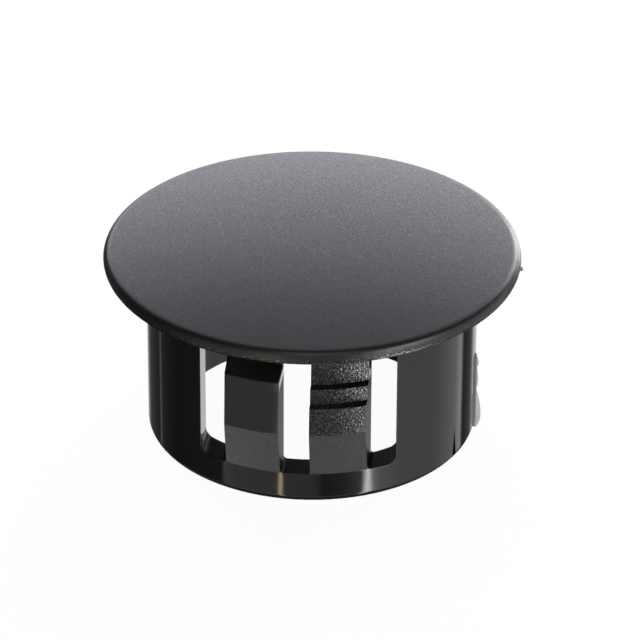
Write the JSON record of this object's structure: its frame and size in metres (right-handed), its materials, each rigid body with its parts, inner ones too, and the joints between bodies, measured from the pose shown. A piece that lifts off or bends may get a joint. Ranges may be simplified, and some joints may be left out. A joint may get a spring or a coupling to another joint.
{
  "type": "blanking plug",
  "caption": "Snap-in blanking plug that closes a round panel hole: shallow domed head, hollow slotted barrel and stepped locking fingers, moulded in one piece.",
  "frame": {"origin": "centre of the barrel's lower edge, on the plug's axis, where the plug stands", "axes": "+Z along the plug's axis towards the crown of the head; the bays of fingers face -Y and +Y, and the plain walls face -X and +X"},
  "size_m": [0.0198, 0.0198, 0.0102],
  "materials": {
    "moulded_nylon": "black moulded nylon, spark-eroded matte on the head, semi-gloss on the barrel"
  },
  "bodies": {
    "root": {"blanking_plug": "moulded_nylon"}
  },
  "joints": []
}
